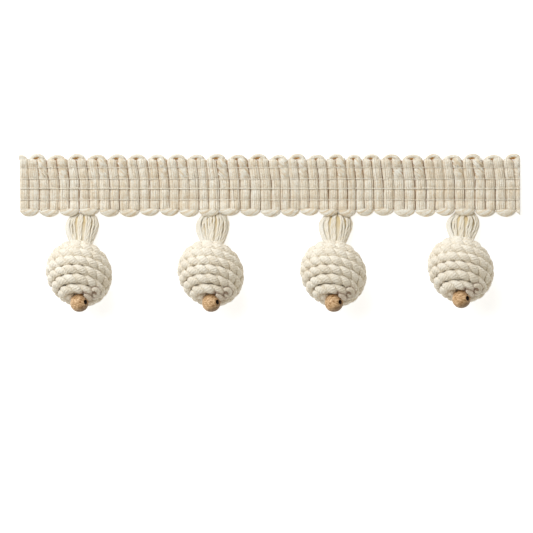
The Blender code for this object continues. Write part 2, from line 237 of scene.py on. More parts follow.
THREAD_YS = np.array([29.9, 24.7, 20.4, 15.3]) * MM
THREAD_THICKNESS = np.array([0.42, 0.46, 0.70, 0.42]) * MM
PINCH_REACH = 0.75 * MM
PINCH_LOWERS = 0.23  # how much a binding thread lowers the crown, narrows the bar
PINCH_NARROWS = 0.06
PINCH_LIFTS = 0.36 * MM  # and lifts its underside

NECK_ROOT_XS = np.array([-83.7, -24.9, 30.3, 87.8]) * MM
LIFT = 1.35 * MM
LIFT_HALF_WIDTH = 8.0 * MM
LIFT_FADE = 9.0 * MM
LIFT_FULL_Y = 12.6 * MM
LIFT_FADE_Y = 2.35 * MM

SLIT_RISE = 1.05 * MM  # the slits' shade starts this far above the cord's middle
SLIT_FADE = 1.6 * MM
SLIT_END_FADE = 0.8 * MM
SLIT_SIDE_FADE = 1.2 * MM
UP = np.array([0.0, 0.0, 1.0])


def smooth(share):
    """0 below 0, 1 above 1, and an S curve between them."""
    share = np.clip(share, 0, 1)
    return share * share * (3 - 2 * share)


def wander(seed, rows, stations, every):
    """Soft random curves from -1 to 1, one a row: S curves between random knots."""
    knots = np.random.default_rng(seed).uniform(-1, 1, (rows, stations // every + 2))
    place = np.arange(stations) / every
    left = place.astype(int)
    share = smooth(place - left)
    return knots[:, left] * (1 - share) + knots[:, left + 1] * share


def unit(vectors):
    """Vectors of length 1 with the same directions."""
    return vectors / np.maximum(np.linalg.norm(vectors, axis=-1, keepdims=True), 1e-12)


def along(path):
    """Directions of travel on paths of points, by differences of neighbouring points."""
    return unit(np.gradient(path, axis=-2))


def travelled(path):
    """How far along their path points lie: the running sum of the steps between them."""
    step = np.linalg.norm(np.diff(path, axis=-2), axis=-1)
    return np.concatenate([0 * step[..., :1], np.cumsum(step, axis=-1)], axis=-1)


def tube(path, out, thick, broad, sides):
    """Rings round many paths at once, as an array of (path, station, side, xyz).

    A ring's point at angle a is path + broad cos(a) side + thick sin(a) over, where over is
    the given outward direction made square to the path, and side is square to both.
    """
    travel = along(path)
    side = unit(np.cross(travel, out))
    over = np.cross(side, travel)
    angle = 2 * np.pi * np.arange(sides) / sides
    sizes = [np.broadcast_to(size, path.shape[:-1]) for size in (broad, thick)]
    wide = sizes[0][..., None, None] * np.cos(angle)[:, None] * side[..., None, :]
    high = sizes[1][..., None, None] * np.sin(angle)[:, None] * over[..., None, :]
    return path[..., None, :] + wide + high


def rings_piece(name, sets, finish, node_name, closed=False):
    """One mesh from sets of rings, given to the body, in place of a CAD node which it hides.

    Each set has its rings (path, station, side, xyz), and its painted shade and tone for each
    ring point. The last ring joins the first where closed, and else flat caps close both ends.
    UV runs along the path and round the ring, both in metres.
    """
    points, corners, starts, uvs, painted_shades, tones = [], [], [], [], [], []
    first_point, first_corner = 0, 0
    for rings, painted_shade, tone in sets:
        paths, stations, sides, _ = rings.shape
        ids = first_point + np.arange(paths * stations * sides).reshape(rings.shape[:3])
        length = travelled(rings.mean(axis=2))
        around = travelled(np.concatenate([rings[:, 0], rings[:, 0, :1]], axis=1))
        here, there = ids, np.roll(ids, -1, axis=1)
        u_here, u_there = length, np.roll(length, -1, axis=1)
        if not closed:
            here, there = ids[:, :-1], ids[:, 1:]
            u_here, u_there = length[:, :-1], length[:, 1:]
        v_here, v_there = around[:, :-1], around[:, 1:]
        quads = np.stack(
            [here, there, np.roll(there, -1, axis=2), np.roll(here, -1, axis=2)], axis=-1
        )
        u = np.stack([u_here, u_there, u_there, u_here], axis=-1)[:, :, None]
        v = np.stack([v_here, v_here, v_there, v_there], axis=-1)[:, None]
        corners.append(quads.ravel())
        uvs.append(np.stack(np.broadcast_arrays(u, v, quads)[:2], axis=-1).reshape(-1, 2))
        starts.append(first_corner + 4 * np.arange(quads.size // 4))
        first_corner += quads.size
        if not closed:
            caps = np.concatenate([ids[:, 0], ids[:, -1, ::-1]])
            cap_u = np.concatenate([length[:, :1], length[:, -1:]])
            cap_v = np.concatenate([v_here, v_here[:, ::-1]])
            corners.append(caps.ravel())
            uvs.append(np.stack([np.repeat(cap_u, sides, axis=1).ravel(), cap_v.ravel()], -1))
            starts.append(first_corner + sides * np.arange(len(caps)))
            first_corner += caps.size
        points.append(rings.reshape(-1, 3))
        painted_shades.append(np.broadcast_to(painted_shade, rings.shape[:3]).ravel())
        tones.append(np.broadcast_to(tone, rings.shape[:3]).ravel())
        first_point += ids.size
    points, corners = np.concatenate(points), np.concatenate(corners)
    starts, uvs = np.concatenate(starts), np.concatenate(uvs)
    mesh = bpy.data.meshes.new(name)
    mesh.vertices.add(len(points))
    mesh.vertices.foreach_set("co", points.astype(np.float32).ravel())
    mesh.loops.add(len(corners))
    mesh.loops.foreach_set("vertex_index", corners.astype(np.int32))
    mesh.polygons.add(len(starts))
    mesh.polygons.foreach_set("loop_start", starts.astype(np.int32))
    mesh.polygons.foreach_set("use_smooth", np.ones(len(starts), bool))
    mesh.update(calc_edges=True)
    mesh.uv_layers.new(name="UVMap").data.foreach_set("uv", uvs.astype(np.float32).ravel())
    # The painted shade and the tone go on the mesh as point attributes.
    for key, values in (("painted_shade", painted_shades), ("tone", tones)):
        attribute = mesh.attributes.new(key, "FLOAT", "POINT")
        attribute.data.foreach_set("value", np.concatenate(values).astype(np.float32))
    mesh.materials.append(finish)
    piece = bpy.data.objects.new(name, mesh)
    scene.collection.objects.link(piece)
    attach(piece, "root")
    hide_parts(node_name)


def lean_at(x, y):
    """How far the upper part of the bars leans towards -X: less for the first few bars."""
    from_left = smooth((x + BARS / 2 * PITCH) / LEAN_GROWS_OVER)
    grown = LEAN_AT_LEFT_END + (1 - LEAN_AT_LEFT_END) * from_left
    return -LEAN * grown * smooth((y - LEAN_FROM_Y) / (LEAN_TO_Y - LEAN_FROM_Y))


def even_turns(turns):
    """Angles that stand at even steps round the cord's superellipse, for a number of turns."""
    table = np.linspace(0, 2 * np.pi, 721)
    c, s = rounded(table, CORD_SQUARENESS)
    step = np.hypot(np.diff(c), CORD_FLATNESS * np.diff(s))
    length = np.concatenate([[0], np.cumsum(step)]) / step.sum()
    whole = np.floor(turns)
    return 2 * np.pi * whole + np.interp(turns - whole, length, table)


def settled(x):
    """Where a point of an even row of bars really lies: straight lines between pairs' shifts.

    What lies t past the cut less CUT_SQUASH is pressed to CUT_SQUASH t / (CUT_SQUASH + t).
    """
    pairs = (np.arange(BARS // 2) * 2 + 1 - BARS / 2) * PITCH
    at = np.concatenate([[-BARS / 2 * PITCH], pairs])
    moved = x + np.interp(x, at, np.concatenate([[0.0], PAIR_SHIFTS]) * MM)
    past = np.maximum(moved - RIGHT_CUT_X + CUT_SQUASH, 0)
    return np.minimum(moved, RIGHT_CUT_X - CUT_SQUASH) + CUT_SQUASH * past / (CUT_SQUASH + past)


def settled_rings(rings):
    """Rings with the heading's own X moved to where the bars really lie."""
    rings = rings.copy()
    rings[..., 0] = settled(rings[..., 0] - SHIFT[0]) + SHIFT[0]
    return rings


def near_root(x):
    """1 above a neck's root and 0 well away from it."""
    far = np.abs(settled(np.asarray(x))[..., None] - NECK_ROOT_XS)
    return smooth(1 - (far - LIFT_HALF_WIDTH) / LIFT_FADE).max(axis=-1)


def lift_at(x, y):
    """How far the loops are lifted where a neck passes under them."""
    return LIFT * near_root(x) * smooth(1 - (y - LIFT_FULL_Y) / LIFT_FADE_Y)


def pinch_at(y):
    """1 on a binding thread and 0 between the threads, as bell curves."""
    return np.exp(-(((y[..., None] - THREAD_YS) / PINCH_REACH) ** 2)).sum(axis=-1)


def rounded(angle, squareness):
    """Cosine and sine of an angle, bent towards a square as in a superellipse."""
    c, s = np.cos(angle), np.sin(angle)
    return np.sign(c) * np.abs(c) ** (2 / squareness), np.sign(s) * np.abs(s) ** (2 / squareness)


def cord_route():
    """The cord's middle line as x, y, fullness, rise above its rest and number of the bar.

    A bar is a row of points between an arch's foot and a loop's shoulder, closer at its ends.
    A loop is half a pointed ellipse below a pair of bars, and an arch the same above the next
    pair. The route starts at the top of an arch and ends in a loop, past the right cut.
    """
    bar = np.arange(-1, BARS + 1)[:, None]
    centre = (bar - (BARS - 1) / 2) * PITCH
    down = bar % 2 == 0
    uneven = LOOP_UNEVENNESS * np.sin(bar * LOOP_WANDER)
    low = LOOP_LOW_Y + LOOP_DEPTH + np.where(down, uneven, np.roll(uneven, 1, axis=0))
    high = ARCH_FOOT_Y + np.where(down, ARCH_STEP, -ARCH_STEP)
    between = np.linspace(2 * END_STEP, 1 - 2 * END_STEP, BAR_STATIONS - 4)
    from_top = np.concatenate([(0.0, END_STEP), between, (1 - END_STEP, 1.0)])[None]
    share = np.where(down, from_top, from_top[:, ::-1])
    bar_y = high + (low - high) * share
    drift = wander(3, BARS + 2, BAR_STATIONS, 7) * BAR_DRIFT * np.sin(np.pi * share)
    bar_full = 1 - (1 - LOOP_CORNER_SHARE) * smooth(1 - (bar_y - low) / END_TAPER)
    bar_full = bar_full - (1 - ARCH_SHARE) * smooth(1 - (high - bar_y) / END_TAPER)
    turn = np.pi * (1 - (np.arange(LOOP_STATIONS) + 1) / (LOOP_STATIONS + 1))[None]
    c, s = np.cos(turn), np.sin(turn)
    in_loop, in_arch = smooth(s * LOOP_ONSET), smooth(s * ARCH_ONSET)
    arch_span = PITCH / 2 + in_arch * ARCH_SPREAD
    turn_x = centre + PITCH / 2 + np.where(down, LOOP_HALF_SPAN, arch_span) * c
    top = ARCH_TOP_Y + ARCH_UNEVENNESS * np.sin(bar * ARCH_WANDER)
    arch_y = ARCH_FOOT_Y + ARCH_STEP * c + (top - ARCH_FOOT_Y) * s**ARCH_ROUNDNESS
    turn_y = np.where(down, low - LOOP_DEPTH * s**LOOP_ROUNDNESS, arch_y)
    loop_full = LOOP_CORNER_SHARE + (LOOP_MIDDLE_SHARE - LOOP_CORNER_SHARE) * s**LOOP_SWELL
    turn_full = np.where(down, loop_full, ARCH_SHARE)
    arch_rise = ARCH_LEFT_Z + (ARCH_RIGHT_Z - ARCH_LEFT_Z) * (1 + c) / 2
    turn_rise = np.where(down, LOOP_RAISE * in_loop, arch_rise * in_arch)
    columns = (
        (centre + drift, turn_x),
        (bar_y, turn_y),
        (bar_full, turn_full),
        (0 * bar_y, turn_rise),
        (bar + 0 * bar_y, bar + 0 * turn_y),
    )
    half_arch = LOOP_STATIONS // 2
    kept = slice(BAR_STATIONS + half_arch, -half_arch)
    return [np.concatenate(pair, axis=1).ravel()[kept] for pair in columns]


def cord_bundle():
    """The cord's middle line, the yarns' offsets from it and radii, and the cord's section.

    Round the cord's middle line the yarns stand on a superellipse, wide and low, that turns
    slowly as it goes: quickly round the loops, and hardly along the bars. The section is its
    half width and height, its fullness from 0 to 1, and its fuzziness from 0 to 1.
    """
    x, y, full, rise, bar = cord_route()
    count = len(x)
    bar = bar.astype(int)
    plump = 1 + BAR_UNEVENNESS * np.random.default_rng(11).uniform(-1, 1, BARS + 2)[bar + 1]
    pinch = pinch_at(y)
    drawn = CORD_DRAWN_HEIGHT + (1 - CORD_DRAWN_HEIGHT) * full
    crown = CORD_CROWN * (1 - PINCH_LOWERS * pinch) * plump * drawn
    under = PINCH_LIFTS * pinch
    radius = YARN_RADIUS * drawn
    half_high = (crown - under) / 2 - radius
    z = under + radius + half_high + lift_at(x, y) + rise
    path = np.stack([x + lean_at(x, y), y, z], axis=-1)
    half_wide = CORD_HALF_WIDTH * full * (1 - PINCH_NARROWS * pinch) * plump
    in_loop = y < LOOP_LOW_Y + LOOP_DEPTH * LOOP_TWISTED
    fuzzy = np.isin(bar % 6, FUZZY_BARS) * smooth((y - FUZZY_FROM_Y) / FUZZY_FADE)
    rate = BAR_TWIST + LOOP_TWIST * in_loop + FUZZY_TWIST * fuzzy + DRAWN_TWIST * (1 - full)
    twist = np.cumsum(rate) + TWIST_WANDER * wander(5, 1, count, 9)[0]
    strayed = YARN_WANDER * wander(6, YARNS, count, 9)
    angle = even_turns(twist + strayed + np.arange(YARNS)[:, None] / YARNS)
    c, s = rounded(angle, CORD_SQUARENESS)
    travel = along(path)
    side = unit(np.cross(travel, UP))
    over = np.cross(side, travel)
    loose = 1 + (YARN_LOOSENESS[0] + YARN_LOOSENESS[1] * fuzzy) * wander(8, YARNS, count, 4)
    offset = (c * half_wide * loose)[..., None] * side + (s * half_high * loose)[..., None] * over
    slope = TOP_SLOPE * (bar % 2)
    slope = slope * smooth((y - ARCH_FOOT_Y) / TOP_SLOPE_FADE + TOP_SLOPE_EARLY)
    offset[..., 1] -= slope * (full > NEARLY_FULL) * offset[..., 0]
    uneven = (YARN_UNEVENNESS[0] + YARN_UNEVENNESS[1] * fuzzy) * wander(9, YARNS, count, 3)
    return path, offset, radius * (1 + uneven), half_wide, half_high, full, fuzzy


def groove_shade(sides, strength):
    """Shade for a ring's points: none outward, and the full strength on the inward side."""
    return strength * (1 - np.sin(2 * np.pi * np.arange(sides) / sides)) / 2


def cord_painted_shade(rings, middle_z):
    """Painted shade, 0 to 1: how deep a point lies in the slits between bars and the grooves
    between yarns.
    """
    x, y = rings[..., 0] - SHIFT[0], rings[..., 1] - SHIFT[1]
    slit = smooth((middle_z[..., None] + SLIT_RISE - rings[..., 2]) / SLIT_FADE)
    slit = slit * smooth((y - LOOP_LOW_Y - LOOP_DEPTH) / SLIT_END_FADE + 0.5)
    slit = slit * smooth((ARCH_FOOT_Y - y) / SLIT_END_FADE + 0.5)
    upright = x - lean_at(x, y)
    inside = np.minimum(upright + BARS / 2 * PITCH, (BARS + 1) / 2 * PITCH - upright)
    slit = slit * smooth(inside / SLIT_SIDE_FADE)
    return np.maximum(slit, groove_shade(rings.shape[2], YARN_GROOVE))


def rested(rings, sunk):
    """Rings pressed up by the table: heights from -sunk to SOFT_HEIGHT are mapped on 0 to it."""
    rings = rings.copy()
    z = rings[..., 2]
    pressed = SOFT_HEIGHT - (SOFT_HEIGHT - z) / (1 + sunk / SOFT_HEIGHT)
    rings[..., 2] = np.where(z < SOFT_HEIGHT, pressed, z)
    return rings


def spun_cotton(name, pale, deep, painted_crevice_shade, fibre, patch, fuzz):
    """Matt spun cotton: soft colour patches, painted warm shade in the crevices and a slanting
    twist.

    fibre is the spacing of the twist's fine ridges, patch the size of the colour patches and
    fuzz the size of the surface's loose fibres, all in metres. Paleness is the weighted sum
    of the yarn's own tone, the fuzz and the patches.
    """
    fuzz_strength, patch_strength, ridge_strength = 2.4, 1.5, 0.6
    deep_at, pale_at = 1.1, 2.65
    twist_slant = np.radians(38)
    wave_spacing = 0.314  # between the bands of a wave texture of scale 1
    weigh, colours = {"operation": "MULTIPLY_ADD"}, {"data_type": "RGBA"}
    made, tree, shader = new_material(
        name, Roughness=0.95, Specular_IOR_Level=0.15, Sheen_Weight=0.25, Sheen_Roughness=0.6
    )
    place = node(tree, "ShaderNodeTexCoord").outputs
    spot = place["Object"]
    patches = node(tree, "ShaderNodeTexNoise", Vector=spot, Scale=1 / patch, Detail=3.0)
    toned = node(tree, "ShaderNodeAttribute", {"attribute_name": "tone"}).outputs["Fac"]
    hairs = node(tree, "ShaderNodeTexNoise", Vector=spot, Scale=1 / fuzz, Detail=4.0).outputs[0]
    total = node(tree, "ShaderNodeMath", weigh, s0=hairs, s1=fuzz_strength, s2=toned).outputs[0]
    total = node(
        tree, "ShaderNodeMath", weigh, s0=patches.outputs[0], s1=patch_strength, s2=total
    ).outputs[0]
    paleness = node(
        tree, "ShaderNodeMapRange", Value=total, From_Min=deep_at, From_Max=pale_at
    ).outputs[0]
    cloth = node(tree, "ShaderNodeMix", colours, s0=paleness, s6=linear(deep), s7=linear(pale))
    # Painted shade: the crevice colour is mixed in as far as the shade attribute goes.
    painted_shade = node(tree, "ShaderNodeAttribute", {"attribute_name": "painted_shade"}).outputs["Fac"]
    shaded = node(
        tree, "ShaderNodeMix", colours, s0=painted_shade, s6=cloth.outputs[2], s7=linear(painted_crevice_shade)
    )
    tree.links.new(shaded.outputs[2], shader.inputs["Base Color"])
    slant = node(tree, "ShaderNodeMapping", Vector=place["UV"], Rotation=(0.0, 0.0, twist_slant))
    ridges = node(
        tree,
        "ShaderNodeTexWave",
        Vector=slant.outputs[0],
        Scale=wave_spacing / fibre,
        Distortion=2.5,
        Detail=2.0,
        Detail_Scale=1.0,
    ).outputs["Fac"]
    relief = node(tree, "ShaderNodeMath", weigh, s0=ridges, s1=ridge_strength, s2=hairs)
    bump = node(
        tree, "ShaderNodeBump", Strength=1.0, Distance=0.4 * fibre, Height=relief.outputs[0]
    )
    tree.links.new(bump.outputs[0], shader.inputs["Normal"])
    return made


# Soft spun cotton, undyed: matt, ivory, with painted warm tan shade down in the slits.
gimp_cotton = spun_cotton(
    "undyed_gimp_cotton", "#fffcf0", "#ead9bb", "#c08f4e", 0.52 * MM, 7 * MM, 0.8 * MM
)

cord, yarn_offsets, yarn_radii, cord_wide, cord_high, cord_full, cord_fuzz = cord_bundle()
yarn_paths = cord + yarn_offsets + SHIFT
yarn_widths = yarn_radii * YARN_FLATNESS
yarn_rings = tube(yarn_paths, unit(yarn_offsets), yarn_radii, yarn_widths, YARN_SIDES)
yarn_rings = rested(yarn_rings, CORD_SUNK)
yarn_painted_shades = cord_painted_shade(yarn_rings, cord[None, :, 2])
yarn_rings = settled_rings(yarn_rings)

# The filling is painted with shade, so it shows as a darker recess below the thin arches, and it
# shuts the slits elsewhere.
FILLING_DROP = np.array([0.0, -1.05, -0.25]) * MM
THIN_BELOW, THIN_FADE = 0.6, 0.3
WIDENED_ABOVE = 0.95
FILLING_PAINTED_SHADES = (0.75, 0.25)  # its shade in the slits, and how much more below the arches
FILLING_SPREAD = 0.32  # how much wider than the cord it is along the inner bars
FILLING_HIGH = 0.95
FILLING_LEAST_WIDTH = 0.7 * MM
FILLING_SIDES = 8
thin = smooth((THIN_BELOW - cord_full) / THIN_FADE)
below_arch = (thin * (cord[:, 1] > ARCH_FOOT_Y))[:, None]
inner_bar = np.abs(cord[:, 0] - PITCH / 2) < (BARS - 1) / 2 * PITCH
filling_wide = cord_wide * (1 + FILLING_SPREAD * inner_bar * (cord_full > WIDENED_ABOVE))
filling_rings = tube(
    (cord + below_arch * FILLING_DROP)[None] + SHIFT,
    UP,
    cord_high * FILLING_HIGH,
    np.maximum(filling_wide, FILLING_LEAST_WIDTH),
    FILLING_SIDES,
)
filling_rings = settled_rings(rested(filling_rings, CORD_SUNK))
filling_painted_shade = FILLING_PAINTED_SHADES[0] + FILLING_PAINTED_SHADES[1] * below_arch[None]

# Each yarn has its own tone, stronger in the loops, and drifts and speckles along its way.
TONE_OF_YARN = 0.25
TONE_IN_LOOPS = 2.2
TONE_DRIFT = 0.25
TONE_OF_FUZZ = 0.8
stations = len(cord)
in_loops = 1 + TONE_IN_LOOPS * (cord[:, 1:2] < LOOP_LOW_Y + LOOP_DEPTH)
own_tones = np.random.default_rng(21).uniform(-TONE_OF_YARN, TONE_OF_YARN, YARNS)
yarn_tones = in_loops * own_tones[:, None, None]
yarn_tones = yarn_tones + TONE_DRIFT * wander(22, YARNS, stations, 12)[..., None]
speckles = cord_fuzz[:, None] * wander(23, YARNS, stations, 1)[..., None]
yarn_tones = yarn_tones + TONE_OF_FUZZ * speckles
HALF_YARNS = YARNS // 2
for part, chosen in enumerate((slice(0, HALF_YARNS), slice(HALF_YARNS, YARNS))):
    sets = [(yarn_rings[chosen], yarn_painted_shades[chosen], yarn_tones[chosen])]
    if part == 0:
        sets.append((filling_rings, filling_painted_shade, 0.0))
    name = f"gimp_cord_yarns_{part + 1}"
    rings_piece(name, sets, gimp_cotton, "braid_weft")


# ---- Binding threads -------------------------------------
# Four two-ply cotton threads on the face and four finer ones on the back hold the bars.
# They run the heading's full length, over each bar's pinched crown, and dip between bars.

STEPS_PER_BAR = 10
THREAD_REST = 2.66 * MM
THREAD_DIP = 0.6 * MM
THREAD_DIP_REACH = 0.62 * MM
THREAD_RIDE = 0.6 * MM  # how much the lowest thread rides up over the necks' roots
THREAD_DRIFT = 0.10 * MM
PLY_SHARE = 0.30  # a ply's radius, as a share of the thread's thickness
PLY_HELIX = 0.8  # the radius of its helix, as a share of its own radius
THREAD_LAY = 2.6 * MM
THREAD_PHASE = 0.3  # turns by which each thread's twist is ahead of the last one's
THREAD_SIDES = 6
BACK_THREAD_RADIUS = 0.17 * MM
BACK_THREAD_WIDTH = 1.3  # as a share of its height
BACK_THREAD_LIFT = 0.02 * MM
BACK_THREAD_EVERY = 3  # it has this many times fewer stations


def twisted(path, out, plies, radius, lay, phase):
    """Strands laid round a path: path + radius (cos(a) out + sin(a) across), a along the lay.

    The result has the paths in groups of plies, and each strand's own outward direction.
    """
    travel = along(path)
    over = unit(out - (out * travel).sum(-1, keepdims=True) * travel)
    across = np.cross(travel, over)
    phase = np.broadcast_to(phase, (len(path),))[:, None]
    turn = 2 * np.pi * (travelled(path) / lay + phase)
    turn = turn[:, None] + 2 * np.pi * np.arange(plies)[None, :, None] / plies
    outward = np.cos(turn)[..., None] * over[:, None] + np.sin(turn)[..., None] * across[:, None]
    radius = np.broadcast_to(radius, path.shape[:2])[:, None, :, None]
    strands = path[:, None] + radius * outward
    return strands.reshape(-1, *path.shape[1:]), outward.reshape(-1, *path.shape[1:])


def face_thread_path(y, index):
    """A thread's line over the crowns: z falls in a bell curve at each slit between bars."""
    stations = (BARS + 1) * STEPS_PER_BAR + 1
    x = (np.arange(stations) / STEPS_PER_BAR - BARS / 2) * PITCH
    to_slit = np.abs((x / PITCH + BARS / 2 + 0.5) % 1 - 0.5) * PITCH
    dip = THREAD_DIP * np.exp(-((to_slit / THREAD_DIP_REACH) ** 2))
    ride = THREAD_RIDE * near_root(x) if y == THREAD_YS.min() else 0.0
    z = THREAD_REST + THREAD_THICKNESS[index] / 2 - dip + ride
    y_line = y + THREAD_DRIFT * wander(31 + index, 1, stations, 14)[0]
    return np.stack([x + lean_at(x, y), y_line, z], axis=-1)[None]


# Mercerised two-ply cotton thread: finer and paler than the cord, with a faint sheen.
thread_cotton = spun_cotton(
    "two_ply_cotton_thread", "#fffaee", "#f5ead2", "#c9a56c", 0.30 * MM, 9 * MM, 0.4 * MM
)
for index, y in enumerate(THREAD_YS):
    line = face_thread_path(y, index) + SHIFT
    ply = THREAD_THICKNESS[index] * PLY_SHARE
    strands, outward = twisted(line, UP, 2, ply * PLY_HELIX, THREAD_LAY, index * THREAD_PHASE)
    face_rings = settled_rings(tube(strands, outward, ply, ply, THREAD_SIDES))
    back = line[:, ::BACK_THREAD_EVERY].copy()
    back[..., 2] = BACK_THREAD_RADIUS + BACK_THREAD_LIFT
    back_width = BACK_THREAD_RADIUS * BACK_THREAD_WIDTH
    back_rings = settled_rings(tube(back, UP, BACK_THREAD_RADIUS, back_width, THREAD_SIDES))
    # The back threads, under the bars, get a little painted shade.
    sets = [(face_rings, 0.0, 0.1), (back_rings, 0.2, 0.0)]
    name, stood_for = f"binding_yarns_{index + 1}", f"binding_thread_{index + 1}"
    rings_piece(name, sets, thread_cotton, stood_for)


# ---- Balls: two-strand cotton rope -----------------------
# Each ball is one soft two-strand cotton rope wound in a close spiral on a round core, from
# the wooden bead up to the neck, its turns glued side by side. By the bead one strand's end
# curls on the first turn and the other is tucked in. The upper end lies under the neck.

BALL_CENTRES = np.array([(-85.9, -17.8), (-26.7, -17.8), (28.4, -17.8), (85.6, -16.1)]) * MM
BALL_HEIGHT = 14.2 * MM
BALL_TILT = np.radians(30)
BALL_SKEW = 0.05  # the soft balls are a little oval, long to the lower right
BALL_OVAL = np.array([[1, -BALL_SKEW, 0], [-BALL_SKEW, 1, 0], [0, 0, 1]])

ROPE_SPHERE = 12.85 * MM  # the sphere that the rope's middle line lies on
SPIRAL_START = np.radians(17.7)
SPIRAL_PITCH = np.radians(18.3)
ROPE_FROM, ROPE_TO = 0.32, 8.45  # turns at which the rope's two ends lie
ROPE_STATIONS = 900
ENDS_MOVE = np.radians(5)  # both ends move towards the next turn and sink below it
START_UNTIL, START_FADE, START_SINKS = 1.0, 0.7, 1.4 * MM
END_AFTER, END_FADE, END_SINKS = 7.85, 0.6, 2.0 * MM
PROUD_AT, PROUD_REACH = 1.25, 0.22  # here the first turn stands proud, nearer to the bead
PROUD_RAISES, PROUD_MOVES = 0.6 * MM, np.radians(1.6)
ASIDE_AT, ASIDE_REACH = 1.03, 0.1  # and here it is pushed away from the bead
ASIDE_MOVES = np.radians(3.5)

STRANDS = 2
STRAND_HELIX = 1.07 * MM
STRAND_THICK = 1.15 * MM
STRAND_BROAD = 1.47 * MM
STRAND_SPREAD = 0.26 * MM  # a strand is this much broader where it crosses on top
STRAND_UNEVENNESS = 0.07
STRAND_SIDES = 12
STRAND_TONES = np.array([-0.05, 0.05])
ROPE_LAY = 9.2 * MM
END_STATIONS = 10  # the rope's ends are pointed over this many stations
END_SHARE = 0.35
FIRST_SWELL, FIRST_SWELL_OVER = 0.10, 1.3  # the first turns are a little plumper,
PACKED_FROM, PACKED_OVER = 3.0, 2.5  # and from this turn on they fill their pitch
PACKED_SWELL = 0.15
# Where the turns are packed, their painted shade is this share lighter.
PACKED_LESS_SHADE = 0.75
ROPE_SUNK = 1.00 * MM  # how far the soft rope is flattened where a ball rests

CORE_RADIUS = 1.2 * MM  # a filling inside the rope, and a plain ball below it
CORE_SIDES = 8
BACKING_RADIUS = 11.9 * MM
BACKING_RINGS, BACKING_SIDES = 40, 60
# The rope's filling and the plain ball carry this much painted shade.
BACKING_PAINTED_SHADE = 0.28
POLE_GAP = 0.01  # in radians

GROOVE_PAINTED_SHADE = 0.30  # the shade grows inwards from this far off the ball's middle
GROOVE_OUT, GROOVE_FADE = 13.9 * MM, 2.4 * MM
TUCK_PAINTED_SHADE = 0.7  # and towards the loose ends, from this far off them
TUCK_OUT, TUCK_FADE = 2.0 * MM, 1.0 * MM
TUCK_WEIGHTS = np.array([1.0, 1.0, 0.4])

CURL_PLACE = np.array([7.3, -8.6]) * MM  # from the ball's middle, as seen from above
CURL_SIZE = 1.50 * MM
CURL_RADIUS = 1.08 * MM
CURL_SPHERE = 15.2 * MM
CURL_STATIONS = 32
CURL_FROM, CURL_ARC = 165, 310  # in degrees, and it tightens by these shares
CURL_SIZE_FROM, CURL_SIZE_LOSS = 1.08, 0.33
CURL_RISE, CURL_RISES_IN = 1.3 * MM, 0.25
TUCKED_FROM = np.array([2.3, -9.3, 11.7]) * MM
TUCKED_TO = np.array([5.5, -12.4, 10.4]) * MM
TUCKED_BOW = np.array([0.35, 0.35, 0.0]) * MM
TUCKED_RADIUS = 1.15 * MM
TUCKED_STATIONS = 20
LOOSE_END_POINT = 0.98  # how much thinner than its middle a loose strand's end is
LOOSE_END_SHADE_TONE = -0.2  # painted shade: the loose ends are a little darker than the turns


def ball_frame(centre):
    """A ball's own axes as rows of x, y and z, and its centre. Its z points to the bead."""
    tilt_c, tilt_s = np.cos(BALL_TILT), np.sin(BALL_TILT)
    axes = np.array([[1, 0, 0], [0, tilt_s, tilt_c], [0, -tilt_c, tilt_s]])
    return axes, np.array([centre[0], centre[1], BALL_HEIGHT]) + SHIFT


def on_sphere(radius, polar, azimuth):
    """Points at a radius, an angle from the z axis and an angle round it."""
    flat = radius * np.sin(polar)
    high = radius * np.cos(polar) + 0 * azimuth
    return np.stack([flat * np.cos(azimuth), flat * np.sin(azimuth), high], axis=-1)


def rope_route(axes, centre):
    """The rope's middle line on a sphere: the polar angle grows evenly with the turns.

    S curves sink both ends, and bell curves move the first turn where it stands proud and
    where it gives way. The stations are at even steps along the rope.
    """
    turns = np.linspace(ROPE_FROM, ROPE_TO, 4000)
    start = smooth((START_UNTIL - turns) / START_FADE)
    end = smooth((turns - END_AFTER) / END_FADE)
    proud = np.exp(-(((turns - PROUD_AT) / PROUD_REACH) ** 2))
    aside = np.exp(-(((turns - ASIDE_AT) / ASIDE_REACH) ** 2))
    polar = SPIRAL_START + SPIRAL_PITCH * (turns - 0.5)
    polar = polar + start * ENDS_MOVE - end * ENDS_MOVE
    polar = polar - proud * PROUD_MOVES + aside * ASIDE_MOVES
    sphere = ROPE_SPHERE - START_SINKS * start - END_SINKS * end + PROUD_RAISES * proud
    local = on_sphere(sphere, polar, 2 * np.pi * turns)
    length = travelled(local)
    even = np.linspace(0, length[-1], ROPE_STATIONS)
    local = np.stack([np.interp(even, length, local[:, k]) for k in range(3)], axis=-1)
    return (local @ axes @ BALL_OVAL + centre)[None]


def ball_painted_shade(rings, centre, tucked):
    """Painted shade, 0 to 1, for points deep between the turns and strands, or beside the tucked
    ends.
    """
    from_centre = np.linalg.norm(rings - centre, axis=-1)
    between = GROOVE_PAINTED_SHADE * smooth((GROOVE_OUT - from_centre) / GROOVE_FADE)
    apart = (rings[..., None, :] - tucked) * TUCK_WEIGHTS
    nearest = np.linalg.norm(apart, axis=-1).min(axis=-1)
    return np.maximum(between, TUCK_PAINTED_SHADE * smooth((TUCK_OUT - nearest) / TUCK_FADE))


def curled_strand(centre):
    """One strand's end: an arc that tightens, seen from above, on a sphere round the ball.

    It comes up out of the first turn and curls round to the right and down.
    """
    share = np.linspace(0, 1, CURL_STATIONS)
    angle = np.radians(CURL_FROM - CURL_ARC * share)
    size = CURL_SIZE * (CURL_SIZE_FROM - CURL_SIZE_LOSS * share)
    x = CURL_PLACE[0] + size * np.cos(angle)
    y = CURL_PLACE[1] + size * np.sin(angle)
    z = np.sqrt(CURL_SPHERE**2 - x**2 - y**2) - CURL_RISE * (1 - smooth(share / CURL_RISES_IN))
    return (centre + np.stack([x, y, z], axis=-1))[None]


